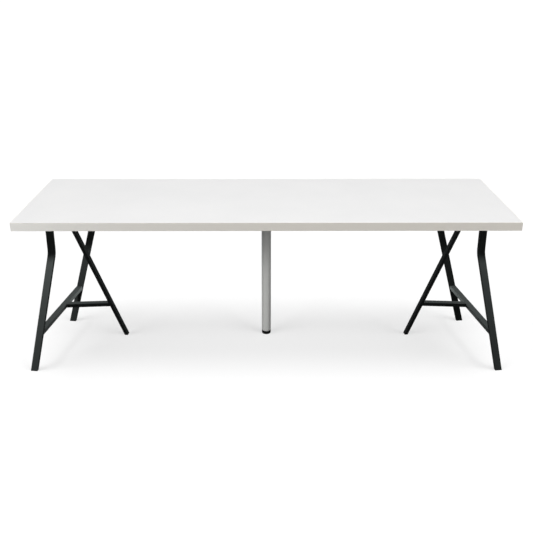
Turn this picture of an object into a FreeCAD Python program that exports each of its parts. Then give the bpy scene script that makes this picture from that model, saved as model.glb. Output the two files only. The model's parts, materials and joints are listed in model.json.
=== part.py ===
import FreeCAD, Part
import math
import os

# A long desk: a hollow board on two three-legged trestles and one round centre leg.
# Millimetres. X runs along the desk, +Y away from the user, +Z up.
# The origin is on the floor under the middle of the board.

# Board
top_long = 2000.0
top_deep = 600.0
top_thick = 34.0
table_high = 734.0
skin_thick = 3.0
band_thick = 2.0
edge_round = 0.8
frame_wide = 40.0
block_wide = 130.0
ribbon_thick = 1.0
ribbon_rows = 8
ribbon_waves = 6

# Trestles: the place of the rail's middle, and the turn that brings the rear legs inward
trestle_inset = 154.0
trestle_y = 21.0
toe_in = 7.3
leg_spread = 236.0
knee_drop = 127.0
knee_bend = 160.0
front_knee_out = 3.0
front_foot_out = 156.5
rear_knee_out = -9.0
leg_wide = 30.0
leg_deep = 15.0
bar_wide = 28.0
bar_high = 18.0
rail_high = 25.0
tube_wall = 1.5
tube_round = 2.0
crossbar_z = 190.0
stretcher_y = 40.0
inner_leg_wide = 25.0
inner_leg_thick = 15.0
inner_head_y = -55.0
inner_foot_in = 150.0
inner_foot_y = 136.0
bracket_thick = 3.0
bracket_ear = 24.0
bracket_round = 5.0
pad_thick = 2.0
pad_long = 80.0
pad_wide = 20.0
pad_y = 80.0
sole_thick = 3.0
plug_deep = 16.0
cap_thick = 2.0
cap_deep = 5.0
insert_deep = 20.0

# Fasteners
bolt_r = 3.0
bolt_head_r = 5.5
bolt_head_high = 4.0
bolt_round = 2.0
bolt_spare = 6.0
socket_flats = 4.0
socket_deep = 2.5
nut_flats = 10.0
nut_high = 5.0
screw_r = 2.5
screw_head_r = 5.0
screw_head_high = 3.0
head_round_share = 0.6
slot_long_share = 1.2
slot_wide_share = 0.3
slot_deep_share = 0.6
rail_screw_inset = 68.0
tip_cover = 9.0
pilot_spare = 1.0

# Centre leg: its distance from the back edge
centre_inset = 150.0
tube_r = 22.0
tube_skin = 1.5
plate_side = 80.0
plate_thick = 2.0
plate_round = 8.0
plate_screw_inset = 10.0
plate_screw_r = 2.0
plate_head_r = 4.0
plate_head_high = 2.0
stud_r = 4.0
stud_long = 34.0
head_flange = 6.0
head_plug = 20.0
foot_high = 17.0
foot_inset = 0.5
foot_round = 3.0
collar_high = 4.0
collar_bevel = 1.5
collar_hole_r = 12.0
lower_plug = 28.0
level_r = 5.0
level_long = 46.0
level_disc_r = 8.0
level_disc_high = 3.0
pad_floor = 3.0

# Clearances: still pieces, and pieces that move in each other
still_gap = 0.1
move_gap = 0.3

# Extra length of cutting and trimmed shapes
overshoot = 20.0

# Derived places
V = FreeCAD.Vector
UP = V(0, 0, 1)
under_z = table_high - top_thick
trestle_x = top_long / 2 - trestle_inset
rail_top = under_z - pad_thick
knee_high = rail_top - knee_drop
rail_bottom = rail_top - rail_high
head_z = rail_bottom - bracket_thick
core_low = under_z + skin_thick
core_high = table_high - skin_thick
inner_long = top_long - 2 * band_thick
inner_deep = top_deep - 2 * band_thick
bay_deep = inner_deep - 2 * frame_wide
leg_face = leg_spread - leg_deep / 2
rail_bolt_z = (rail_bottom + rail_top) / 2
rail_screw_y = leg_face - rail_screw_inset
bolt_reach = insert_deep - bolt_spare
bracket_long = inner_leg_wide + 2 * bracket_ear
bracket_bolt_y = (inner_leg_wide + bracket_ear) / 2
screw_bite = top_thick - skin_thick - tip_cover
crossbar_share = crossbar_z / knee_high
crossbar_x = front_foot_out + (front_knee_out - front_foot_out) * crossbar_share
rear_foot_out = (crossbar_x - rear_knee_out * crossbar_share) / (1 - crossbar_share)
centre_y = top_deep / 2 - centre_inset
plate_low = under_z - plate_thick
tube_high = plate_low - head_flange
plate_screw_at = plate_side / 2 - plate_screw_inset
tube_low = foot_high + collar_high
foot_r = tube_r - foot_inset


def box(x0, x1, y0, y1, z0, z1):
    return Part.makeBox(x1 - x0, y1 - y0, z1 - z0, V(x0, y0, z0))


def rod(r, long, start, way=UP):
    return Part.makeCylinder(r, long, start, way)


def rounded(centre, side, rise, wide, high, r):
    """Rounded rectangle as a wire, spanned by two unit vectors."""
    def at(a, b):
        return centre + side * a + rise * b

    a, b = wide / 2, high / 2
    k = r * (1 - math.sqrt(0.5))
    corners = [(1, 1), (-1, 1), (-1, -1), (1, -1)]
    edges = []
    for i, (sa, sb) in enumerate(corners):
        flat_a = at(sa * (a - r), sb * b)
        flat_b = at(sa * a, sb * (b - r))
        middle = at(sa * (a - k), sb * (b - k))
        first, last = (flat_b, flat_a) if i % 2 == 0 else (flat_a, flat_b)
        edges.append(Part.Arc(first, middle, last).toShape())
        na, nb = corners[(i + 1) % 4]
        follow = at(na * (a - r), nb * b) if i % 2 == 0 else at(na * a, nb * (b - r))
        edges.append(Part.makeLine(last, follow))
    return Part.Wire(edges)


def bar(start, end, side, rise, wide, high, r):
    """Straight solid bar with rounded edges."""
    return Part.Face(rounded(start, side, rise, wide, high, r)).extrude(end - start)


def tube(start, end, side, rise, wide, high):
    """Straight hollow tube."""
    outer = bar(start, end, side, rise, wide, high, tube_round)
    cut = 2 * tube_wall
    return outer.cut(bar(start, end, side, rise, wide - cut, high - cut, tube_round / 2))


def slab(z0, z1):
    """Wide slice of space between two heights."""
    reach = top_long + top_deep
    return box(-reach, reach, -reach, reach, z0, z1)


def prism(points, z0, z1):
    """Upright prism on a closed outline in plan."""
    outline = [V(x, y, z0) for x, y in points]
    return Part.Face(Part.makePolygon(outline + outline[:1])).extrude(V(0, 0, z1 - z0))


def largest(shape):
    return max(shape.Solids, key=lambda s: s.Volume)


def soften(shape, centre, r):
    """Round the circular edge that lies about a point."""
    return shape.makeFillet(r, [e for e in shape.Edges if (e.CenterOfMass - centre).Length < 0.01])


def hexagon(centre, way, flats, long):
    """Six-sided bar along a direction."""
    side = V(0, 1, 0) if abs(way.x) > 0.5 else V(1, 0, 0)
    rise = way.cross(side)
    corner = flats / math.sqrt(3)
    turns = [math.radians(60 * i) for i in range(6)]
    ring = [centre + side * (corner * math.cos(a)) + rise * (corner * math.sin(a)) for a in turns]
    return Part.Face(Part.makePolygon(ring + ring[:1])).extrude(way * long)


def bolt(seat, way, long):
    """Button-head bolt: its head stands on the seat along a direction, its shank runs back from it."""
    top = seat + way * bolt_head_high
    head = soften(rod(bolt_head_r, bolt_head_high, seat, way), top, bolt_round)
    head = head.cut(hexagon(top - way * socket_deep, way, socket_flats, socket_deep))
    return head.fuse(rod(bolt_r, long, seat - way * long, way))


def screw(seat, long, r, head_r, head_high):
    """Wood screw driven upward: its domed head with a cross slot lies under the seat."""
    low = seat - UP * head_high
    head = soften(rod(head_r, head_high, low), low, head_high * head_round_share)
    a, b = head_r * slot_long_share / 2, head_r * slot_wide_share / 2
    deep = low.z + head_high * slot_deep_share
    for dx, dy in ((a, b), (b, a)):
        head = head.cut(box(seat.x - dx, seat.x + dx, seat.y - dy, seat.y + dy, low.z, deep))
    return head.fuse(rod(r, long, seat))


# Places on a trestle are given as out from the rail, along the rail and up.
def put(shape, side):
    """Set a piece of the right trestle in the desk; side -1 mirrors it to the left."""
    placed = shape.copy()
    placed.rotate(V(0, 0, 0), UP, toe_in)
    placed.translate(V(trestle_x, trestle_y, 0))
    return placed if side > 0 else placed.mirror(V(0, 0, 0), V(1, 0, 0))


def spot(out, along, z, side):
    """Point of a trestle in the desk's frame."""
    turn = math.radians(toe_in)
    x = trestle_x + out * math.cos(turn) - along * math.sin(turn)
    y = trestle_y + out * math.sin(turn) + along * math.cos(turn)
    return V(side * x, y, z)


def bent(along, knee_out, foot_out, wide, deep, r):
    """Solid along a bent outer leg, from below the floor to above the rail."""
    head, knee, foot = V(0, along, rail_bolt_z), V(knee_out, along, knee_high), V(foot_out, along, 0)
    down, up = (foot - knee).normalize(), (head - knee).normalize()
    half_turn = (math.pi - down.getAngle(up)) / 2
    reach = knee_bend * math.tan(half_turn)
    low, high = knee + down * reach, knee + up * reach
    inward = (down + up).normalize()
    middle = knee + inward * (knee_bend / math.cos(half_turn) - knee_bend)
    start, end = foot + down * overshoot, head + up * (rail_high + overshoot)
    path = Part.Wire([
        Part.makeLine(start, low),
        Part.Arc(low, middle, high).toShape(),
        Part.makeLine(high, end)])
    across = V(0, 1, 0)
    section = rounded(start, across, down.cross(across), deep, wide, r)
    return path.makePipeShell([section], True, True)


def outer_leg(along, knee_out, foot_out):
    """Tube, foot and cap of one outer leg."""
    cut = 2 * tube_wall
    plug_cut = cut + 2 * still_gap
    whole = bent(along, knee_out, foot_out, leg_wide, leg_deep, tube_round)
    hollow = bent(along, knee_out, foot_out, leg_wide - cut, leg_deep - cut, tube_round / 2)
    plug = bent(along, knee_out, foot_out, leg_wide - plug_cut, leg_deep - plug_cut, tube_round / 2)
    end_z = rail_top - cap_thick
    leg = whole.common(slab(sole_thick, end_z)).cut(hollow)
    foot = whole.common(slab(0, sole_thick)).fuse(plug.common(slab(sole_thick, sole_thick + plug_deep)))
    cap = whole.common(slab(end_z, rail_top)).fuse(plug.common(slab(end_z - cap_deep, end_z)))
    way = V(0, 1 if along > 0 else -1, 0)
    bore = rod(bolt_r + still_gap, 2 * leg_deep, V(0, along, rail_bolt_z) - way * leg_deep, way)
    return largest(leg.cut(bore)), largest(foot), largest(cap)


def rail_parts():
    """Rail with its tapped end blocks, the bolts through the legs, the pads and the screws to the board."""
    z = (rail_top + rail_bottom) / 2
    x_way, z_way, y_way = V(1, 0, 0), UP, V(0, 1, 0)
    rail = tube(V(0, -leg_face, z), V(0, leg_face, z), x_way, z_way, leg_wide, rail_high)
    inserts, bolts, pads, screws = [], [], [], []
    cut = 2 * (tube_wall + still_gap)
    for end in (-1, 1):
        way = y_way * end
        block = bar(V(0, end * (leg_face - insert_deep), z), V(0, end * leg_face, z), x_way, z_way,
                    leg_wide - cut, rail_high - cut, tube_round)
        axis = V(0, end * (leg_face - insert_deep), rail_bolt_z)
        inserts.append(block.cut(rod(bolt_r + still_gap, insert_deep, axis, way)))
        seat = V(0, end * (leg_spread + leg_deep / 2), rail_bolt_z)
        bolts.append(bolt(seat, way, leg_deep + bolt_reach))
        pad_low = end * pad_y - pad_long / 2
        pads.append(box(-pad_wide / 2, pad_wide / 2, pad_low, pad_low + pad_long, rail_top, under_z))
        seat = V(0, end * rail_screw_y, rail_bottom)
        rail = rail.cut(rod(screw_r + still_gap, rail_high, seat))
        screws.append(screw(seat, under_z + screw_bite - rail_bottom, screw_r, screw_head_r, screw_head_high))
        seat = V(0, inner_head_y + end * bracket_bolt_y, rail_bottom)
        rail = rail.cut(rod(bolt_r + still_gap, 2 * tube_wall, seat - UP * tube_wall))
    return rail, inserts, bolts, pads, screws


def inner_axis():
    """Foot, head and section directions of the inner leg."""
    foot = V(-inner_foot_in, inner_foot_y, 0)
    head = V(0, inner_head_y, head_z)
    way = (head - foot).normalize()
    front = V(0, -1, 0)
    front = (front - way * front.dot(way)).normalize()
    return foot, head, way, front, way.cross(front)


def inner_solid(wide, deep, r):
    foot, head, way, front, flank = inner_axis()
    return bar(foot - way * overshoot, head + way * overshoot, flank, front, wide, deep, r)


def inner_leg_parts():
    """Inner leg tube and the plug in its foot."""
    whole = inner_solid(inner_leg_thick, inner_leg_wide, tube_round)
    cut = 2 * tube_wall
    plug_cut = cut + 2 * still_gap
    hollow = inner_solid(inner_leg_thick - cut, inner_leg_wide - cut, tube_round / 2)
    plug = inner_solid(inner_leg_thick - plug_cut, inner_leg_wide - plug_cut, tube_round / 2)
    leg = whole.common(slab(sole_thick, head_z)).cut(hollow)
    foot = whole.common(slab(0, sole_thick)).fuse(plug.common(slab(sole_thick, sole_thick + plug_deep)))
    return largest(leg), largest(foot), whole


def bracket_parts():
    """Plate under the rail with its bolts, and the nuts inside the rail."""
    centre = V(0, inner_head_y, head_z)
    plate = Part.Face(rounded(centre, V(1, 0, 0), V(0, 1, 0), leg_wide, bracket_long, bracket_round))
    plate = plate.extrude(UP * bracket_thick)
    bolts, nuts = [], []
    for end in (-1, 1):
        seat = V(0, inner_head_y + end * bracket_bolt_y, head_z)
        plate = plate.cut(rod(bolt_r + still_gap, bracket_thick, seat))
        nut_low = rail_bottom + tube_wall
        bolts.append(bolt(seat, V(0, 0, -1), nut_low + nut_high - head_z))
        under = V(0, seat.y, nut_low)
        nut = hexagon(under, UP, nut_flats, nut_high)
        nuts.append(nut.cut(rod(bolt_r + still_gap, nut_high, under)))
    return plate, bolts, nuts


def low_bars(inner_whole):
    """Crossbar, stretcher, the tapped block in the stretcher and its bolt."""
    x_way = V(1, 0, 0)
    cross_start, cross_end = V(crossbar_x, -leg_face, crossbar_z), V(crossbar_x, leg_face, crossbar_z)
    crossbar = tube(cross_start, cross_end, x_way, UP, bar_wide, bar_high)
    foot, head, way, front, flank = inner_axis()
    joint = V(crossbar_x, stretcher_y, crossbar_z)
    goal = foot + way * (crossbar_z / way.z)
    along = (goal - joint).normalize()
    across = UP.cross(along)
    flush = joint.x - bar_wide / 2
    beside = box(flush, flush + bar_wide + overshoot, -leg_face, leg_face, 0, table_high)
    stretcher = tube(joint, goal, across, UP, bar_wide, bar_high).cut(beside).cut(inner_whole)
    cut = 2 * (tube_wall + still_gap)
    block_end = joint + along * (bar_wide / 2 + insert_deep)
    block = bar(joint, block_end, across, UP, bar_wide - cut, bar_high - cut, tube_round).cut(beside)
    head_at = joint + x_way * (bar_wide / 2)
    shank_long = bar_wide + bolt_reach
    bore = rod(bolt_r + still_gap, shank_long + overshoot, head_at, V(-1, 0, 0))
    return crossbar.cut(bore), largest(stretcher), largest(block.cut(bore)), bolt(head_at, x_way, shank_long)


def trestle():
    """All pieces of the right trestle, each as a list of solids."""
    front_leg, front_foot, front_cap = outer_leg(-leg_spread, front_knee_out, front_foot_out)
    rear_leg, rear_foot, rear_cap = outer_leg(leg_spread, rear_knee_out, rear_foot_out)
    rail, inserts, rail_bolts, pads, screws = rail_parts()
    inner_leg, inner_foot, inner_whole = inner_leg_parts()
    plate, bracket_bolts, nuts = bracket_parts()
    crossbar, stretcher, block, low_bolt = low_bars(inner_whole)
    return {
        "front_leg": [front_leg], "rear_leg": [rear_leg], "rail": [rail], "crossbar": [crossbar],
        "inner_leg": [inner_leg], "stretcher": [stretcher], "bracket": [plate],
        "front_foot": [front_foot], "rear_foot": [rear_foot], "inner_foot": [inner_foot],
        "leg_caps": [front_cap, rear_cap], "rail_inserts": inserts, "rail_bolts": rail_bolts,
        "bracket_nuts": nuts, "bracket_bolts": bracket_bolts, "stretcher_insert": [block],
        "stretcher_bolts": [low_bolt], "rail_pads": pads, "rail_screws": screws}


def screw_holes():
    """Pilot holes in the lower skin and the blocks."""
    holes = []
    for side in (-1, 1):
        for end in (-1, 1):
            seat = spot(0, end * rail_screw_y, under_z, side)
            holes.append(rod(screw_r + still_gap, screw_bite + pilot_spare, seat))
    for px in (-1, 1):
        for py in (-1, 1):
            seat = V(px * plate_screw_at, centre_y + py * plate_screw_at, under_z)
            holes.append(rod(plate_screw_r + still_gap, screw_bite + pilot_spare, seat))
    return Part.makeCompound(holes)


def ribbon(x0, x1, y_low, y_high, flip):
    """One paper ribbon of the honeycomb: a wave with flat crests."""
    wave = (x1 - x0) / ribbon_waves
    low, high = (y_high - ribbon_thick, y_low) if flip else (y_low, y_high - ribbon_thick)
    line = []
    for i in range(ribbon_waves):
        start = x0 + i * wave
        line += [(start, low), (start + wave / 4, low)]
        line += [(start + wave / 2, high), (start + 3 * wave / 4, high)]
    line.append((x1, low))
    back = [(x, y + ribbon_thick) for x, y in reversed(line)]
    return prism(line + back, core_low, core_high)


def honeycomb(x0, x1):
    step = bay_deep / ribbon_rows
    rows = [-bay_deep / 2 + i * step for i in range(ribbon_rows)]
    return [ribbon(x0, x1, y, y + step, i % 2 == 1) for i, y in enumerate(rows)]


def band(x0, x1, y0, y1):
    """Edge band with its outer edges rounded."""
    ox, oy = top_long / 2, top_deep / 2
    solid = box(x0, x1, y0, y1, under_z, table_high)
    outer = []
    for edge in solid.Edges:
        at = edge.CenterOfMass
        on_end = abs(at.x) > ox - 0.01
        on_front_or_back = abs(at.y) > oy - 0.01
        on_top_or_bottom = at.z > table_high - 0.01 or at.z < under_z + 0.01
        if on_end + on_front_or_back + on_top_or_bottom == 2:
            outer.append(edge)
    return solid.makeFillet(edge_round, outer)


def board():
    """Skins, bands, inner frame, blocks and honeycomb of the board."""
    lx, ly = inner_long / 2, inner_deep / 2
    ox, oy = top_long / 2, top_deep / 2
    holes = screw_holes()
    half = block_wide / 2
    bay = bay_deep / 2
    return {
        "top_skin": [box(-lx, lx, -ly, ly, core_high, table_high)],
        "bottom_skin": [box(-lx, lx, -ly, ly, under_z, core_low).cut(holes)],
        "band_front": [band(-ox, ox, -oy, -ly)],
        "band_back": [band(-ox, ox, ly, oy)],
        "band_left": [band(-ox, -lx, -ly, ly)],
        "band_right": [band(lx, ox, -ly, ly)],
        "frame_front": [box(-lx, lx, -ly, -bay, core_low, core_high).cut(holes)],
        "frame_back": [box(-lx, lx, bay, ly, core_low, core_high).cut(holes)],
        "frame_left": [box(-lx, -lx + frame_wide, -bay, bay, core_low, core_high)],
        "frame_right": [box(lx - frame_wide, lx, -bay, bay, core_low, core_high)],
        "block_left": [box(-trestle_x - half, -trestle_x + half, -bay, bay, core_low, core_high).cut(holes)],
        "block_right": [box(trestle_x - half, trestle_x + half, -bay, bay, core_low, core_high).cut(holes)],
        "block_centre": [box(-half, half, -bay, bay, core_low, core_high).cut(holes)],
        "core_left": honeycomb(-trestle_x + half, -half),
        "core_right": honeycomb(half, trestle_x - half)}


def turned(outline):
    """Solid of revolution about the centre leg's axis from (radius, height) points."""
    points = [V(r, centre_y, z) for r, z in outline]
    face = Part.Face(Part.makePolygon(points + points[:1]))
    return face.revolve(V(0, centre_y, 0), UP, 360)


def plate_parts():
    """Mounting plate with its screws."""
    half = plate_side / 2
    centre = V(0, centre_y, plate_low)
    plate = Part.Face(rounded(centre, V(1, 0, 0), V(0, 1, 0), 2 * half, 2 * half, plate_round))
    plate = plate.extrude(UP * plate_thick)
    screws = []
    for px in (-1, 1):
        for py in (-1, 1):
            seat = centre + V(px * plate_screw_at, py * plate_screw_at, 0)
            plate = plate.cut(rod(plate_screw_r + still_gap, plate_thick, seat))
            screws.append(screw(seat, plate_thick + screw_bite, plate_screw_r, plate_head_r, plate_head_high))
    return plate, screws


def foot_pad():
    """Black foot with the socket that holds the disc of the levelling screw."""
    top_disc = pad_floor + level_disc_high + move_gap
    body = turned([
        (0, 0), (foot_r, 0), (foot_r, foot_high), (level_r + move_gap, foot_high),
        (level_r + move_gap, top_disc), (level_disc_r + move_gap, top_disc),
        (level_disc_r + move_gap, pad_floor), (0, pad_floor)])
    rim = [e for e in body.Edges if abs(e.BoundBox.ZMax) < 0.01 and e.BoundBox.XLength > foot_r]
    return body.makeFillet(foot_round, rim)


def centre_leg():
    """Pieces of the centre leg from the plate down to the foot."""
    plate, screws = plate_parts()
    bore_r = tube_r - tube_skin
    plug_r = bore_r - still_gap
    hole_r = stud_r + still_gap
    level_hole = level_r + move_gap
    plug_top = tube_low + lower_plug
    boss_r = collar_hole_r - still_gap
    return {
        "leg_plate": [plate],
        "plate_screws": screws,
        "leg_stud": [rod(stud_r, stud_long, V(0, centre_y, plate_low - stud_long))],
        "leg_top_insert": [turned([
            (hole_r, plate_low), (tube_r, plate_low), (tube_r, tube_high), (plug_r, tube_high),
            (plug_r, tube_high - head_plug), (hole_r, tube_high - head_plug)])],
        "leg_tube": [turned([
            (bore_r, tube_low), (tube_r, tube_low), (tube_r, tube_high), (bore_r, tube_high)])],
        "leg_bottom_insert": [turned([
            (level_hole, foot_high), (boss_r, foot_high), (boss_r, tube_low), (plug_r, tube_low),
            (plug_r, plug_top), (level_hole, plug_top)])],
        "leg_collar": [turned([
            (collar_hole_r, foot_high), (tube_r - collar_bevel, foot_high), (tube_r, tube_low),
            (collar_hole_r, tube_low)])],
        "level_stud": [turned([
            (0, pad_floor), (level_disc_r, pad_floor), (level_disc_r, pad_floor + level_disc_high),
            (level_r, pad_floor + level_disc_high), (level_r, pad_floor + level_long),
            (0, pad_floor + level_long)])],
        "foot_pad": [foot_pad()]}


def save(name, solids):
    shape = solids[0] if len(solids) == 1 else Part.makeCompound(solids)
    shape.exportStep("parts/" + name + ".step")


# Small fixings that are alike on both trestles lie together
shared = ("rail_bolts", "rail_screws", "rail_inserts", "bracket_bolts", "bracket_nuts", "stretcher_bolts")

os.makedirs("parts", exist_ok=True)
for name, solids in list(board().items()) + list(centre_leg().items()):
    save(name, solids)
for name, solids in trestle().items():
    left = [put(solid, -1) for solid in solids]
    right = [put(solid, 1) for solid in solids]
    if name in shared:
        save(name, left + right)
    else:
        save(name + "_left", left)
        save(name + "_right", right)
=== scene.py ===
import json
import math

import bmesh
import bpy
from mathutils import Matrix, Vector


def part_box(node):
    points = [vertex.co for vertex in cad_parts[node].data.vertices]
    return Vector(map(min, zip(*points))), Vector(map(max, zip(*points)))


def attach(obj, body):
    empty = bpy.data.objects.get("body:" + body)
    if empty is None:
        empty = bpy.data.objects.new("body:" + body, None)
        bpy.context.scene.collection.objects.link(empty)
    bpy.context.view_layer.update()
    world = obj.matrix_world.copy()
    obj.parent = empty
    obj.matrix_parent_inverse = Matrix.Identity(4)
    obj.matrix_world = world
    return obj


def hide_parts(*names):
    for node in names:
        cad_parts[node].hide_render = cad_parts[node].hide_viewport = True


# A long desk: white hollow board, two black tube trestles and a grey round centre leg.
# Metres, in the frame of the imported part: +X to the user's right, +Y away from the user, +Z up.

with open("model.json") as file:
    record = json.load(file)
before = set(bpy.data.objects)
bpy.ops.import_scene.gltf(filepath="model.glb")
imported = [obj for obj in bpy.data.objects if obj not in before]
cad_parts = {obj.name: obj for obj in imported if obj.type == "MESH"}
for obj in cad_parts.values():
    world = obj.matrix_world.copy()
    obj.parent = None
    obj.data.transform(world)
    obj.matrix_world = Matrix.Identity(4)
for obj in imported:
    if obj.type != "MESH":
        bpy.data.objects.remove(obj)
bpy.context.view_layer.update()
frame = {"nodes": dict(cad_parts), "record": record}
nodes = frame["nodes"]
slot_of = {part["node"]: part["material_slot"] for part in frame["record"]["subparts"]}
SIDES = {"left": -1, "right": 1}
UP = Vector((0, 0, 1))


def new_object(name, data):
    made = bpy.data.objects.new(name, data)
    bpy.context.scene.collection.objects.link(made)
    return made


# Materials

# Most values of a noise texture lie between these two.
NOISE_LOW = 0.3
NOISE_HIGH = 0.7


class Shader:
    """A node material with one Principled shader, built up by small steps.

    Sockets with a constant are given by name, with _ for a space.
    """

    def __init__(self, name, **sockets):
        self.material = bpy.data.materials.new(name)
        self.material.use_nodes = True
        self.tree = self.material.node_tree
        self.surface = self.tree.nodes["Principled BSDF"]
        for socket, value in sockets.items():
            self.surface.inputs[socket.replace("_", " ")].default_value = value
        self.place = self.add("ShaderNodeTexCoord").outputs["Object"]

    def add(self, kind):
        return self.tree.nodes.new(kind)

    def link(self, source, target):
        self.tree.links.new(source, target)

    def stretched(self, scale):
        """The place on the object, stretched along its axes."""
        mapping = self.add("ShaderNodeMapping")
        mapping.inputs["Scale"].default_value = scale
        self.link(self.place, mapping.inputs["Vector"])
        return mapping.outputs["Vector"]

    def noise(self, scale, detail=2.0, rough=0.5, place=None):
        """Soft random clouds; a larger scale makes them smaller."""
        node = self.add("ShaderNodeTexNoise")
        node.inputs["Scale"].default_value = scale
        node.inputs["Detail"].default_value = detail
        node.inputs["Roughness"].default_value = rough
        self.link(place or self.place, node.inputs["Vector"])
        return node.outputs["Fac"]

    def cells(self, scale, output, place=None):
        """Random cells: Color is even in each of them, and Distance rises from the middle of each."""
        node = self.add("ShaderNodeTexVoronoi")
        node.inputs["Scale"].default_value = scale
        self.link(place or self.place, node.inputs["Vector"])
        return node.outputs[output]

    def colour(self, value, stops):
        """Base colour by a ramp of stops, each a value of the texture and a colour."""
        node = self.add("ShaderNodeValToRGB")
        elements = node.color_ramp.elements
        while len(elements) < len(stops):
            elements.new(0.5)
        for element, (at, colour) in zip(elements, stops):
            element.position = at
            element.color = (*colour, 1.0)
        self.link(value, node.inputs["Fac"])
        self.link(node.outputs["Color"], self.surface.inputs["Base Color"])

    def roughness(self, value, low, high):
        """Roughness from low to high, as the texture goes from its usual darkest to its lightest."""
        node = self.add("ShaderNodeMapRange")
        node.inputs["From Min"].default_value = NOISE_LOW
        node.inputs["From Max"].default_value = NOISE_HIGH
        node.inputs["To Min"].default_value = low
        node.inputs["To Max"].default_value = high
        self.link(value, node.inputs["Value"])
        self.link(node.outputs["Result"], self.surface.inputs["Roughness"])

    def bump(self, value, depth, strength):
        """Adds relief of a depth in metres on top of what is there already."""
        node = self.add("ShaderNodeBump")
        node.inputs["Strength"].default_value = strength
        node.inputs["Distance"].default_value = depth
        self.link(value, node.inputs["Height"])
        before = self.surface.inputs["Normal"].links
        if before:
            self.link(before[0].from_socket, node.inputs["Normal"])
        self.link(node.outputs["Normal"], self.surface.inputs["Normal"])


def grey(level, warm=0.0):
    """A grey, a little redder and less blue where it is warm."""
    return (level * (1 + warm), level, level * (1 - warm))


def white_board():
    """Sprayed white lacquer: a faint orange peel and hardly any cloudiness."""
    made = Shader("white_lacquer", IOR=1.45, Specular_IOR_Level=0.12)
    made.colour(made.noise(scale=4.0, detail=3.0), [(0.3, grey(0.835)), (0.7, grey(0.86, warm=0.002))])
    made.roughness(made.noise(scale=30.0, detail=4.0), low=0.42, high=0.5)
    made.bump(made.noise(scale=420.0), depth=0.00004, strength=0.35)
    made.bump(made.noise(scale=2200.0, detail=1.0), depth=0.000008, strength=0.3)
    return made.material


def edge_foil():
    """Warm white edge band with a fine lengthwise rolling grain."""
    made = Shader("edge_foil", IOR=1.45)
    grain = made.noise(scale=60.0, detail=4.0, rough=0.6, place=made.stretched((0.08, 0.08, 14.0)))
    made.colour(grain, [(0.25, (0.76, 0.72, 0.655)), (0.75, (0.80, 0.762, 0.70))])
    made.roughness(made.noise(scale=45.0, detail=3.0), low=0.44, high=0.54)
    made.bump(grain, depth=0.00004, strength=0.25)
    made.bump(made.noise(scale=900.0, detail=1.0), depth=0.00001, strength=0.3)
    return made.material


def powder_coat():
    """Matt black powder coat with its fine pebbled skin."""
    made = Shader("black_powder_coat", IOR=1.5, Specular_IOR_Level=0.05)
    clouds = made.noise(scale=14.0, detail=4.0)
    made.colour(clouds, [(0.3, (0.0472, 0.0531, 0.0516)), (0.7, (0.0522, 0.0587, 0.0572))])
    made.roughness(made.noise(scale=55.0, detail=4.0), low=0.78, high=0.86)
    made.bump(made.noise(scale=1100.0), depth=0.00003, strength=0.4)
    made.bump(made.cells(scale=520.0, output="Distance"), depth=0.00002, strength=0.25)
    return made.material


def black_bolt():
    """Blackened steel of the bolt heads."""
    made = Shader("black_oxide", Metallic=0.7)
    made.colour(made.noise(scale=260.0, detail=3.0), [(0.3, grey(0.035)), (0.7, grey(0.06))])
    made.roughness(made.noise(scale=180.0, detail=4.0), low=0.32, high=0.5)
    made.bump(made.noise(scale=1600.0), depth=0.00002, strength=0.3)
    return made.material


def black_plastic(name):
    """Moulded black plastic with an eroded grain."""
    made = Shader(name, IOR=1.48, Specular_IOR_Level=0.03)
    made.colour(made.noise(scale=90.0, detail=3.0), [(0.3, grey(0.008)), (0.7, grey(0.012))])
    made.roughness(made.noise(scale=70.0, detail=3.0), low=0.6, high=0.74)
    made.bump(made.noise(scale=1500.0, detail=3.0), depth=0.00004, strength=0.4)
    return made.material


def bare_steel():
    """Zinc-plated steel of studs and screws, turned lines across its axis."""
    made = Shader("zinc_steel", Metallic=1.0)
    lines = made.noise(scale=80.0, detail=3.0, rough=0.6, place=made.stretched((1.0, 1.0, 40.0)))
    clouds = made.noise(scale=120.0, detail=4.0)
    made.colour(clouds, [(0.3, (0.50, 0.50, 0.49)), (0.7, (0.64, 0.635, 0.615))])
    made.roughness(lines, low=0.24, high=0.42)
    made.bump(lines, depth=0.00002, strength=0.3)
    return made.material


def grey_steel():
    """Silver-grey lacquer on the centre leg: fine flakes under a satin coat."""
    made = Shader("silver_grey_lacquer", Coat_Weight=0.05, Coat_Roughness=0.3, Specular_IOR_Level=0.25)
    flakes = made.cells(scale=2600.0, output="Color")
    made.colour(flakes, [(0.2, (0.655, 0.66, 0.638)), (0.8, (0.735, 0.74, 0.716))])
    made.roughness(made.noise(scale=40.0, detail=4.0), low=0.42, high=0.5)
    made.bump(made.noise(scale=1300.0), depth=0.00002, strength=0.3)
    return made.material


def grey_plastic():
    """Light grey moulded plastic of the collar and the head plug."""
    made = Shader("grey_plastic", IOR=1.46)
    made.colour(made.noise(scale=110.0, detail=3.0), [(0.3, grey(0.80)), (0.7, grey(0.86))])
    made.roughness(made.noise(scale=90.0, detail=3.0), low=0.36, high=0.48)
    made.bump(made.noise(scale=1400.0), depth=0.00002, strength=0.3)
    return made.material


def chipboard():
    """Pressed wood chips of the hidden frame."""
    made = Shader("chipboard")
    chips = made.cells(scale=240.0, output="Color", place=made.stretched((0.5, 1.0, 1.6)))
    made.colour(chips, [(0.1, (0.30, 0.19, 0.10)), (0.5, (0.47, 0.33, 0.19)), (0.9, (0.62, 0.47, 0.30))])
    made.roughness(made.noise(scale=150.0, detail=4.0), low=0.7, high=0.92)
    made.bump(made.noise(scale=700.0, detail=4.0), depth=0.0002, strength=0.5)
    return made.material


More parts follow.
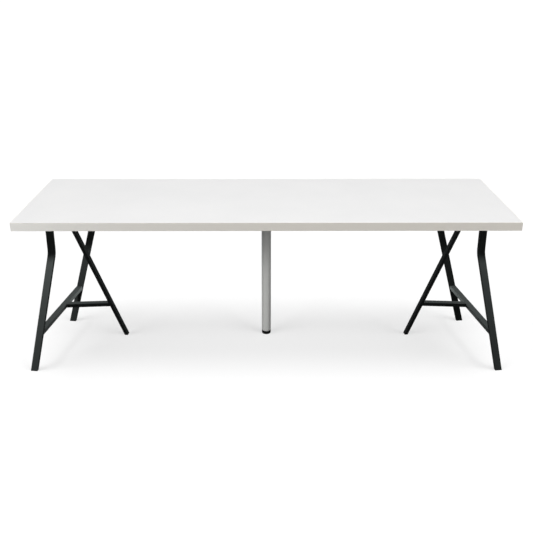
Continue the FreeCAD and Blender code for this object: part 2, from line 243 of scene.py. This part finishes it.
def kraft_paper():
    """Brown paper of the honeycomb, with fibres."""
    made = Shader("kraft_paper")
    fibres = made.noise(scale=300.0, detail=5.0, rough=0.7, place=made.stretched((0.25, 0.25, 1.5)))
    made.colour(fibres, [(0.25, (0.36, 0.24, 0.14)), (0.75, (0.50, 0.36, 0.22))])
    made.roughness(made.noise(scale=90.0, detail=3.0), low=0.78, high=0.92)
    made.bump(fibres, depth=0.0001, strength=0.4)
    return made.material


def rubber():
    """Dull black rubber with a dusty bloom."""
    made = Shader("pad_rubber", IOR=1.45)
    made.colour(made.noise(scale=60.0, detail=5.0), [(0.3, grey(0.022)), (0.75, grey(0.045))])
    made.roughness(made.noise(scale=120.0, detail=4.0), low=0.72, high=0.9)
    made.bump(made.noise(scale=900.0, detail=3.0), depth=0.00006, strength=0.4)
    return made.material


finish_of = {
    "white_board": white_board(),
    "edge_foil": edge_foil(),
    "frame_wood": chipboard(),
    "core_paper": kraft_paper(),
    "black_steel": powder_coat(),
    "black_bolt": black_bolt(),
    "black_plastic": black_plastic("plug_plastic"),
    "foot_plastic": black_plastic("foot_plastic"),
    "bare_steel": bare_steel(),
    "grey_steel": grey_steel(),
    "grey_plastic": grey_plastic(),
    "pad_rubber": rubber(),
}


def dress(piece, slot):
    """Gives a piece the finish of a slot and no other."""
    piece.data.materials.clear()
    piece.data.materials.append(finish_of[slot])


for name, piece in nodes.items():
    dress(piece, slot_of[name])


# Weld beads on the trestles and the thread of the levelling screw

# Where the right trestle stands: the middle of its rail and the turn of the rail.
TRESTLE_X = 0.846
TRESTLE_Y = 0.021
TOE_IN = math.radians(7.3)
# Crossbar on its trestle: out from the rail, above the floor, half its height and half its length.
BAR_OUT = 0.1054
BAR_Z = 0.190
BAR_HALF_HIGH = 0.009
BAR_END = 0.2285
# Inner leg on its trestle: the middles of its foot and head, and half its thickness.
INNER_FOOT = Vector((-0.150, 0.136, 0.0))
INNER_HEAD = Vector((0.0, -0.055, 0.670))
INNER_HALF_THIN = 0.0075
# The bead around its head: the middles of the corners' arcs from the leg's axis, their radius, and the
# angles of their points in degrees.
HEAD_CORNER_THIN = 0.0055
HEAD_CORNER_DEEP = 0.0105
HEAD_CORNER_R = 0.0022
HEAD_CORNER_STEPS = (0.0, 22.5, 45.0, 67.5, 90.0)
# Every bead: its radius, how far its middle lies off the faces that it joins, the length of a ripple,
# and the number of its points.
WELD_R = 0.0016
WELD_OFF = 0.0004
RIPPLE = 0.0021
STEPS_PER_RIPPLE = 6
BEAD_SIDES = 10
# Shape of a bead, as shares of its radius: the valleys, the ripples, a waver and the taper at its ends.
# The waver's rate is in radians per metre.
BEAD_VALLEY = 0.9
BEAD_RIPPLE = 0.16
BEAD_WAVER = 0.07
WAVER_RATE = 1900.0
TAPER_START = 0.3
TAPER_STEP = 0.12
# The beads above and below the crossbar's ends and the stretcher's end: their heights and half lengths.
BAR_WELD_LEVELS = [BAR_Z + sign * (BAR_HALF_HIGH + WELD_OFF) for sign in (1, -1)]
BAR_WELD_HALF = 0.0105
STRETCHER_WELD_HALF = 0.0095
# Levelling screw: heights and radii of its disc, its thread and its end.
DISC_ROWS = ((0.003, 0.0076), (0.0034, 0.008), (0.0056, 0.008), (0.006, 0.0076), (0.006, 0.005))
END_ROW = (0.049, 0.0036)
THREAD_LOW = 0.0065
THREAD_HIGH = 0.0485
PITCH = 0.0015
CREST_R = 0.005
ROOT_R = 0.0042
STEPS_PER_PITCH = 8
SCREW_SIDES = 32
# A wave that goes from 0 to 1 is made steeper and cut off, so that crest and root get flat lands.
FLANK_SLOPE = 1.4
FLANK_SHIFT = 0.2


def new_piece(name, verts, faces, body, slot):
    """A smooth piece of the desk that rides on a body and takes a slot's finish."""
    mesh = bpy.data.meshes.new(name)
    mesh.from_pydata([tuple(v) for v in verts], [], faces)
    mesh.validate()
    work = bmesh.new()
    work.from_mesh(mesh)
    bmesh.ops.recalc_face_normals(work, faces=work.faces)
    work.to_mesh(mesh)
    work.free()
    for polygon in mesh.polygons:
        polygon.use_smooth = True
    piece = new_object(name, mesh)
    dress(piece, slot)
    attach(piece, body)
    return piece


def ring_faces(rings, sides, closed=False):
    """Faces between rings of points, one ring after the other; a row that doesn't close gets flat ends."""
    faces = []
    for i in range(rings if closed else rings - 1):
        after = (i + 1) % rings
        for j in range(sides):
            k = (j + 1) % sides
            faces.append((i * sides + j, i * sides + k, after * sides + k, after * sides + j))
    if not closed:
        faces.append(tuple(range(sides)))
        faces.append(tuple((rings - 1) * sides + j for j in range(sides)))
    return faces


def in_desk(place, side):
    """A place on a trestle (out from the rail, along it, up) in the desk's frame; side -1 is the left."""
    out, along, up = place
    x = TRESTLE_X + out * math.cos(TOE_IN) - along * math.sin(TOE_IN)
    y = TRESTLE_Y + out * math.sin(TOE_IN) + along * math.cos(TOE_IN)
    return Vector((side * x, y, up))


def fine_points(corners, closed):
    """Points along a level line, a step of a ripple apart."""
    ends = corners + corners[:1] if closed else corners
    points = []
    for start, end in zip(ends, ends[1:]):
        count = max(2, round((end - start).length / (RIPPLE / STEPS_PER_RIPPLE)))
        points += [start.lerp(end, i / count) for i in range(count)]
    return points if closed else points + [ends[-1]]


def bead_radius(step, count, closed):
    """Radius of a bead at one of its points: rippled, and tapered where the bead ends."""
    run = step * RIPPLE / STEPS_PER_RIPPLE
    ripple = abs(math.sin(math.pi * run / RIPPLE))
    waver = math.sin(run * WAVER_RATE)
    radius = WELD_R * (BEAD_VALLEY + BEAD_RIPPLE * ripple + BEAD_WAVER * waver)
    if closed:
        return radius
    return radius * min(1.0, TAPER_START + TAPER_STEP * min(step, count - 1 - step))


def bead(corners, closed):
    """One weld bead along a level line: a thin roll with ripples."""
    points = fine_points(corners, closed)
    count = len(points)
    verts = []
    for i, point in enumerate(points):
        ahead = points[(i + 1) % count] if closed else points[min(i + 1, count - 1)]
        behind = points[i - 1] if closed else points[max(i - 1, 0)]
        across = (ahead - behind).normalized().cross(UP)
        radius = bead_radius(i, count, closed)
        for j in range(BEAD_SIDES):
            turn = 2 * math.pi * j / BEAD_SIDES
            verts.append(point + across * (radius * math.cos(turn)) + UP * (radius * math.sin(turn)))
    return verts, ring_faces(count, BEAD_SIDES, closed)


def inner_leg_ways():
    """Three directions of the inner leg on its trestle: along it, to its front and to its outer flank."""
    way = (INNER_HEAD - INNER_FOOT).normalized()
    front = Vector((0, -1, 0))
    front = (front - way * front.dot(way)).normalized()
    flank = way.cross(front)
    return way, front, -flank if flank.x < 0 else flank


def crossbar_lines():
    """Middle lines of the beads at both ends of the crossbar."""
    lines = []
    for z in BAR_WELD_LEVELS:
        for end in (1, -1):
            y = end * (BAR_END - WELD_OFF)
            lines.append([Vector((BAR_OUT + x, y, z)) for x in (-BAR_WELD_HALF, BAR_WELD_HALF)])
    return lines


def stretcher_lines(way, flank):
    """Middle lines of the beads where the stretcher ends on the flank of the inner leg."""
    level_flank = Vector((flank.x, flank.y, 0.0))
    off_axis = level_flank * ((INNER_HALF_THIN + WELD_OFF) / level_flank.dot(flank))
    half_line = UP.cross(flank).normalized() * STRETCHER_WELD_HALF
    lines = []
    for z in BAR_WELD_LEVELS:
        middle = INNER_FOOT + way * (z / way.z) + off_axis
        lines.append([middle - half_line, middle + half_line])
    return lines


def head_loop(way, front, flank):
    """Middle line of the bead around the head of the inner leg, just under its bracket."""
    loop = []
    for thin, deep, first in ((1, 1, 0), (-1, 1, 90), (-1, -1, 180), (1, -1, 270)):
        for step in HEAD_CORNER_STEPS:
            turn = math.radians(first + step)
            sideways = thin * HEAD_CORNER_THIN + HEAD_CORNER_R * math.cos(turn)
            forward = deep * HEAD_CORNER_DEEP + HEAD_CORNER_R * math.sin(turn)
            offset = flank * sideways + front * forward
            point = INNER_HEAD + offset - way * (offset.z / way.z)
            loop.append(Vector((point.x, point.y, INNER_HEAD.z - WELD_OFF)))
    return loop


def weld_piece(name, side):
    """All weld beads of one trestle."""
    way, front, flank = inner_leg_ways()
    lines = [(line, False) for line in crossbar_lines() + stretcher_lines(way, flank)]
    lines.append((head_loop(way, front, flank), True))
    verts, faces = [], []
    for line, closed in lines:
        more_verts, more_faces = bead([in_desk(place, side) for place in line], closed)
        start = len(verts)
        verts += more_verts
        faces += [tuple(start + v for v in face) for face in more_faces]
    return new_piece(name, verts, faces, "table", "black_steel")


def thread_radius(z, share):
    """Radius of the thread at a height, a share of a turn around the screw."""
    wave = abs(((z / PITCH - share) % 1.0) * 2 - 1)
    return ROOT_R + (CREST_R - ROOT_R) * min(1.0, max(0.0, wave * FLANK_SLOPE - FLANK_SHIFT))


def threaded_screw(axis_x, axis_y):
    """Levelling screw: a chamfered disc and a rod with a cut thread."""
    rows = [(z, [radius] * SCREW_SIDES) for z, radius in DISC_ROWS]
    steps = round((THREAD_HIGH - THREAD_LOW) / (PITCH / STEPS_PER_PITCH))
    for i in range(steps + 1):
        z = THREAD_LOW + i * PITCH / STEPS_PER_PITCH
        rows.append((z, [thread_radius(z, j / SCREW_SIDES) for j in range(SCREW_SIDES)]))
    end_z, end_radius = END_ROW
    rows.append((end_z, [end_radius] * SCREW_SIDES))
    verts = []
    for z, radii in rows:
        for j, radius in enumerate(radii):
            turn = 2 * math.pi * j / SCREW_SIDES
            verts.append((axis_x + radius * math.cos(turn), axis_y + radius * math.sin(turn), z))
    faces = ring_faces(len(rows), SCREW_SIDES)
    return new_piece("levelling_screw", verts, faces, "level_screw", "bare_steel")


welds = [weld_piece("welds_" + word, side) for word, side in SIDES.items()]
low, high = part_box("level_stud")
screw = threaded_screw((low[0] + high[0]) / 2, (low[1] + high[1]) / 2)
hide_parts("level_stud")


# Stage, light and camera

# Floor: its grey and glow as the camera and mirrors see them, and the grey from which light bounces.
FLOOR_GREY = 0.285
FLOOR_GLOW = 0.59
FLOOR_BOUNCE = 0.04
FLOOR_HALF = 90.0
# Room: its strength where it is seen, and as an even light.
ROOM_SEEN = 1.0
AMBIENT = 0.035
# Suns, with angles in degrees: the key on the desk, its twin that casts the board's shadow on the floor,
# and two low ones that cast the shadows of what stands there.
KEY_ENERGY = 2.48
KEY_RISE = 79.0
KEY_SPREAD = 24.0
FLOOR_KEY_RISE = 82.0
FLOOR_KEY_SPREAD = 30.0
LOW_SUN_ENERGY = 3.4
LOW_SUN_TURN = 60.0
LOW_SUN_RISE = 22.0
LOW_SUN_SPREAD = 45.0
# Boxes of the trestles: the left one gets more light from the front than the right one.
FRONT_ENERGY = {"left": 41.0, "right": 22.5}
OUTER_ENERGY = {"left": 10.4, "right": 9.6}
REAR_ENERGY = {"left": 19.0, "right": 4.0}
REAR_TURN = {"left": -6.0, "right": -3.0}
# Pieces of a trestle that are lit apart from the rest of it.
LIT_APART = ("rear_leg_", "crossbar_", "stretcher_")
# Colour of the box at the left end of the board.
COOL_WHITE = (0.78, 0.88, 1.0)
# Camera: tilt down and turn in radians, lens and sensor in millimetres.
CAMERA_PLACE = (-0.00758, -2.85567, 1.66768)
CAMERA_TILT = 0.4127
CAMERA_TURN = -0.0028
CAMERA_LENS = 47.139
CAMERA_SENSOR = 36.0
CAMERA_REACH = 400.0


def seen_rays(tree):
    """1 for rays that come straight, mirrored or through glass from the camera, else 0."""
    path = tree.nodes.new("ShaderNodeLightPath")
    total = path.outputs["Is Camera Ray"]
    for kind in ("Is Glossy Ray", "Is Transmission Ray"):
        either = tree.nodes.new("ShaderNodeMath")
        either.operation = "MAXIMUM"
        tree.links.new(total, either.inputs[0])
        tree.links.new(path.outputs[kind], either.inputs[1])
        total = either.outputs[0]
    return total


def seen_strength(tree, hidden, seen):
    """One strength for rays from the camera and another for the light that bounces about."""
    strength = tree.nodes.new("ShaderNodeMapRange")
    strength.inputs["To Min"].default_value = hidden
    strength.inputs["To Max"].default_value = seen
    tree.links.new(seen_rays(tree), strength.inputs["Value"])
    return strength.outputs["Result"]


def soft_white_floor():
    """Grey floor with a glow that only the camera and mirrors see: near white, shadow kept."""
    material = bpy.data.materials.new("stage_floor")
    material.use_nodes = True
    tree = material.node_tree
    tree.nodes.clear()
    base = tree.nodes.new("ShaderNodeBsdfDiffuse")
    tree.links.new(seen_strength(tree, hidden=FLOOR_BOUNCE, seen=FLOOR_GREY), base.inputs["Color"])
    glow = tree.nodes.new("ShaderNodeEmission")
    tree.links.new(seen_strength(tree, hidden=0.0, seen=FLOOR_GLOW), glow.inputs["Strength"])
    both = tree.nodes.new("ShaderNodeAddShader")
    tree.links.new(base.outputs[0], both.inputs[0])
    tree.links.new(glow.outputs[0], both.inputs[1])
    output = tree.nodes.new("ShaderNodeOutputMaterial")
    tree.links.new(both.outputs[0], output.inputs["Surface"])
    return material


floor_mesh = bpy.data.meshes.new("stage_floor")
corners = [(x * FLOOR_HALF, y * FLOOR_HALF, 0.0) for x, y in ((-1, -1), (1, -1), (1, 1), (-1, 1))]
floor_mesh.from_pydata(corners, [], [(0, 1, 2, 3)])
floor_mesh.materials.append(soft_white_floor())
floor = new_object("stage_floor", floor_mesh)


def white_world():
    """A plain pale room: white where it is seen, and a low even light."""
    world = bpy.data.worlds.new("studio")
    world.use_nodes = True
    tree = world.node_tree
    tree.nodes.clear()
    sky = tree.nodes.new("ShaderNodeBackground")
    sky.inputs["Color"].default_value = (1.0, 1.0, 1.0, 1.0)
    tree.links.new(seen_strength(tree, hidden=AMBIENT, seen=ROOM_SEEN), sky.inputs["Strength"])
    output = tree.nodes.new("ShaderNodeOutputWorld")
    tree.links.new(sky.outputs[0], output.inputs["Surface"])
    return world


bpy.context.scene.world = white_world()


def lamp(name, kind, location, target, lights, **settings):
    """A lamp that is aimed at a target and lights the pieces of one set."""
    data = bpy.data.lights.new(name, kind)
    for key, value in settings.items():
        setattr(data, key, value)
    made = new_object(name, data)
    made.location = location
    made.rotation_euler = (Vector(target) - Vector(location)).to_track_quat("-Z", "Y").to_euler()
    made.visible_camera = False
    made.light_linking.receiver_collection = lights
    return made


def way_to_lamp(turn, rise, far=1.0):
    """The way to a lamp at a turn from the front and a rise from level, both in degrees."""
    turn, rise = math.radians(turn), math.radians(rise)
    flat = math.cos(rise)
    return far * Vector((flat * math.sin(turn), -flat * math.cos(turn), math.sin(rise)))


def sun(name, turn, rise, energy, spread, lights):
    """A far lamp; a larger spread makes its shadows softer."""
    return lamp(name, "SUN", way_to_lamp(turn, rise), (0, 0, 0), lights, energy=energy,
                angle=math.radians(spread))


def box_lamp(name, aim, turn, rise, far, energy, wide, high, lights):
    """A soft box, placed as seen from what it aims at."""
    place = Vector(aim) + way_to_lamp(turn, rise, far)
    return lamp(name, "AREA", place, aim, lights, energy=energy, shape="RECTANGLE", size=wide, size_y=high)


def lit_set(name, state, pieces):
    """A set of pieces that a lamp lights or leaves out, or that throw its shadows."""
    made = bpy.data.collections.new(name)
    for number, piece in enumerate(pieces):
        made.objects.link(piece)
        made.collection_objects[number].light_linking.link_state = state
    return made


def of_slots(*starts):
    """The CAD pieces whose slot starts with one of these words."""
    return [piece for name, piece in nodes.items() if slot_of[name].startswith(starts)]


# The floor has suns of its own and shows their shadows alone. Each box lights only the pieces that it is
# linked to, so that the black coat stays black beside the white board.
black = of_slots("black") + welds
board = of_slots("white", "edge")
standing = black + of_slots("grey", "foot")
crossbars = [nodes["crossbar_" + word] for word in SIDES]
on_board = lit_set("on_board", "INCLUDE", board)
on_leg = lit_set("on_leg", "INCLUDE", of_slots("grey"))
on_under = lit_set("on_under", "INCLUDE", [nodes["bottom_skin"]] + of_slots("bare"))
on_ends = lit_set("on_ends", "INCLUDE", [nodes["band_left"], nodes["band_right"]])
on_black = lit_set("on_black", "INCLUDE", black)
on_floor = lit_set("on_floor", "INCLUDE", [floor])
off_top = lit_set("off_top", "EXCLUDE", [floor, nodes["top_skin"]] + black)
off_trestles = lit_set("off_trestles", "EXCLUDE", [floor] + black)
from_standing = lit_set("from_standing", "INCLUDE", standing)
from_bars = lit_set("from_bars", "INCLUDE", board + crossbars)

sun("key", turn=0, rise=KEY_RISE, energy=KEY_ENERGY, spread=KEY_SPREAD, lights=off_trestles)
sun("floor_key", turn=0, rise=FLOOR_KEY_RISE, energy=KEY_ENERGY, spread=FLOOR_KEY_SPREAD, lights=on_floor)
for word, side in SIDES.items():
    low_sun = sun("floor_" + word, turn=side * LOW_SUN_TURN, rise=LOW_SUN_RISE, energy=LOW_SUN_ENERGY,
                  spread=LOW_SUN_SPREAD, lights=on_floor)
    low_sun.light_linking.blocker_collection = from_standing


def light_trestle(word, side):
    """Soft boxes for one trestle and its end of the board."""
    rear_leg, crossbar, stretcher = [nodes[kind + word] for kind in LIT_APART]
    apart = [nodes[kind + each] for kind in LIT_APART for each in SIDES]
    other = "_right" if word == "left" else "_left"
    fore = [piece for piece in black if piece not in apart and not piece.name.endswith(other)]
    on_fore = lit_set("on_fore_" + word, "INCLUDE", fore)
    on_rear = lit_set("on_rear_" + word, "INCLUDE", [rear_leg])
    on_bars = lit_set("on_bars_" + word, "INCLUDE", [crossbar, stretcher])
    on_crossbar = lit_set("on_crossbar_" + word, "INCLUDE", [crossbar])
    box_lamp("front_" + word, aim=(side * 0.87, -0.25, 0.5), turn=side * 18, rise=63.2, far=1.3,
             energy=FRONT_ENERGY[word], wide=0.12, high=0.12, lights=on_fore)
    box_lamp("outer_" + word, aim=(side * 0.95, 0.0, 0.2), turn=side * 90, rise=45, far=1.5,
             energy=OUTER_ENERGY[word], wide=0.8, high=0.4, lights=on_fore)
    rear = box_lamp("rear_" + word, aim=(side * 0.9, 0.25, 0.3), turn=REAR_TURN[word], rise=31, far=2.0,
                    energy=REAR_ENERGY[word], wide=0.15, high=0.12, lights=on_rear)
    rear.light_linking.blocker_collection = from_bars
    box_lamp("rear_outer_" + word, aim=(side * 0.95, 0.25, 0.2), turn=side * 112, rise=40, far=1.5,
             energy=10.0, wide=0.8, high=0.4, lights=on_rear)
    box_lamp("bars_" + word, aim=(side * 0.9, 0.0, 0.2), turn=side * 100, rise=50, far=1.5,
             energy=20.0, wide=0.8, high=0.4, lights=on_bars)
    box_lamp("low_inner_" + word, aim=(side * 0.82, 0.25, 0.19), turn=side * -120, rise=5, far=0.36,
             energy=5.2, wide=0.3, high=0.3, lights=on_crossbar)
    box_lamp("end_" + word, aim=(side, 0, 0.7), turn=side * 90, rise=10, far=1.5,
             energy=6.0, wide=0.5, high=0.5, lights=on_ends)


for word, side in SIDES.items():
    light_trestle(word, side)
front = box_lamp("front_low", aim=(0, 0, 0.5), turn=0, rise=29.5, far=3.6,
                 energy=59.5, wide=3.4, high=1.6, lights=off_trestles)
front.visible_glossy = False
box_lamp("back_low", aim=(0, 0, 0.5), turn=180, rise=8, far=3.6,
         energy=54.0, wide=1.6, high=1.2, lights=off_top)
box_lamp("back_black", aim=(0, 0, 0.5), turn=180, rise=30, far=3.6,
         energy=38.0, wide=2.4, high=0.8, lights=on_black)
box_lamp("from_floor", aim=(0, 0, 0.7), turn=0, rise=-90, far=0.68,
         energy=2.2, wide=1.8, high=0.5, lights=on_under)
box_lamp("leg_box", aim=(0, 0.15, 0.4), turn=-36, rise=34, far=3.0,
         energy=33.5, wide=0.7, high=1.0, lights=on_leg)
cool = box_lamp("left_box", aim=(-0.9, -0.2, 0.5), turn=-42, rise=0, far=1.28,
                energy=6.0, wide=0.5, high=0.6, lights=on_board)
cool.data.color = COOL_WHITE
box_lamp("right_box", aim=(0.9, -0.2, 0.5), turn=42, rise=0, far=1.28,
         energy=1.5, wide=0.5, high=0.6, lights=on_board)

camera_data = bpy.data.cameras.new("camera")
camera_data.sensor_width = CAMERA_SENSOR
camera_data.lens = CAMERA_LENS
camera_data.clip_end = CAMERA_REACH
camera = new_object("camera", camera_data)
camera.location = CAMERA_PLACE
camera.rotation_euler = (math.pi / 2 - CAMERA_TILT, 0.0, CAMERA_TURN)
bpy.context.scene.camera = camera
bpy.context.scene.view_settings.view_transform = "Standard"
